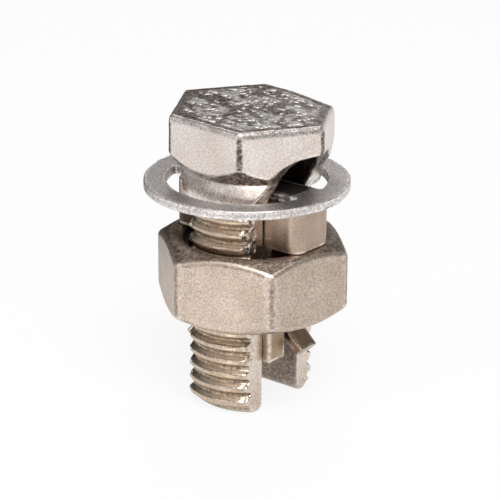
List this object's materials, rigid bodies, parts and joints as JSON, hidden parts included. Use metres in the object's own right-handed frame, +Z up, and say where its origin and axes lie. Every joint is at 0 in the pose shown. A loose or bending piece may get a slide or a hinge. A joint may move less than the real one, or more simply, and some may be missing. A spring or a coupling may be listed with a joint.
{
  "type": "split bolt connector",
  "caption": "Slotted hex bolt with a hex nut, a pressure bar in the slot and a flat spacer, for clamping two electrical conductors side by side.",
  "frame": {"origin": "on the bolt's axis, in the plane of the leg ends that the connector stands on", "axes": "+Z up the bolt from the leg ends to the head; X along the slot, which is the run of the clamped conductors; Y through the two legs"},
  "size_m": [0.0176, 0.0176, 0.0263],
  "materials": {
    "bolt": "tin plated copper alloy, as forged",
    "nut": "tin plated copper alloy, grainy satin",
    "bar": "tin plated copper alloy, brownish satin",
    "spacer": "tin plated copper alloy, rolled strip"
  },
  "bodies": {
    "bolt": {"split_bolt": "bolt"},
    "pressure_bar": {"pressure_bar": "bar"},
    "nut": {"nut": "nut"},
    "spacer": {"spacer": "spacer"}
  },
  "joints": [
    {"name": "bar_travel", "type": "slide", "parent": "bolt", "child": "pressure_bar", "axis": [0, 0, 1], "range_m": [-0.015, 0.0013]},
    {"name": "nut_spin", "type": "hinge", "parent": "pressure_bar", "child": "nut", "pos_m": [0, 0, 0.0116], "axis": [0, 0, 1], "range_deg": [-4240, 340]},
    {"name": "spacer_lift", "type": "slide", "parent": "pressure_bar", "child": "spacer", "axis": [0, 0, 1], "range_m": [0, 0.0005]}
  ],
  "couplings": [
    {"joint": "bar_travel", "follows": "nut_spin", "m_per_rad": 0.00020213}
  ]
}
